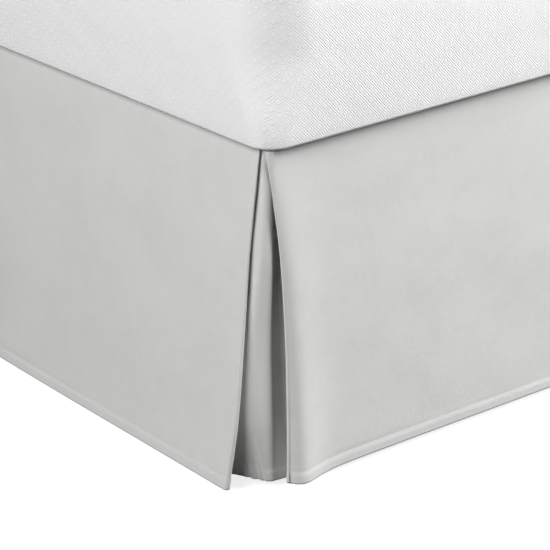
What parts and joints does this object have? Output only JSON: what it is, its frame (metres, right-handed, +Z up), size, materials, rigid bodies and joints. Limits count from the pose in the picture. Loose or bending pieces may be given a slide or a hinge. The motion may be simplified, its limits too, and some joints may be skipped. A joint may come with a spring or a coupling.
{
  "type": "bed skirt on a bed",
  "caption": "Tailored bed skirt with a flat deck and a hemmed drop that has inverted pleats at the foot corners, on a plain mattress, box spring and steel frame.",
  "frame": {"origin": "on the floor, under the middle of the whole object's box", "axes": "+Z up, +Y along the bed towards its open head end, +X across it; the foot, with the pleats at its corners, is at -Y"},
  "size_m": [1.5484, 2.0774, 0.6413],
  "materials": {
    "skirt_cloth": "matt brushed microfibre, light grey",
    "deck_cloth": "the same matt microfibre as the drop",
    "mattress_knit": "white knit with a small raised diamond",
    "box_spring_ticking": "plain woven ticking",
    "frame_steel": "dark powder coat",
    "glide_plastic": "moulded, matt"
  },
  "bodies": {
    "root": {"skirt_drop": "skirt_cloth", "skirt_deck": "deck_cloth", "mattress": "mattress_knit", "box_spring": "box_spring_ticking", "rail_left": "frame_steel", "rail_right": "frame_steel", "bar_foot": "frame_steel", "bar_middle": "frame_steel", "bar_head": "frame_steel", "leg_foot_left": "frame_steel", "glide_foot_left": "glide_plastic", "leg_foot_centre": "frame_steel", "glide_foot_centre": "glide_plastic", "leg_foot_right": "frame_steel", "glide_foot_right": "glide_plastic", "leg_middle_left": "frame_steel", "glide_middle_left": "glide_plastic", "leg_middle_centre": "frame_steel", "glide_middle_centre": "glide_plastic", "leg_middle_right": "frame_steel", "glide_middle_right": "glide_plastic", "leg_head_left": "frame_steel", "glide_head_left": "glide_plastic", "leg_head_centre": "frame_steel", "glide_head_centre": "glide_plastic", "leg_head_right": "frame_steel", "glide_head_right": "glide_plastic"}
  },
  "joints": []
}
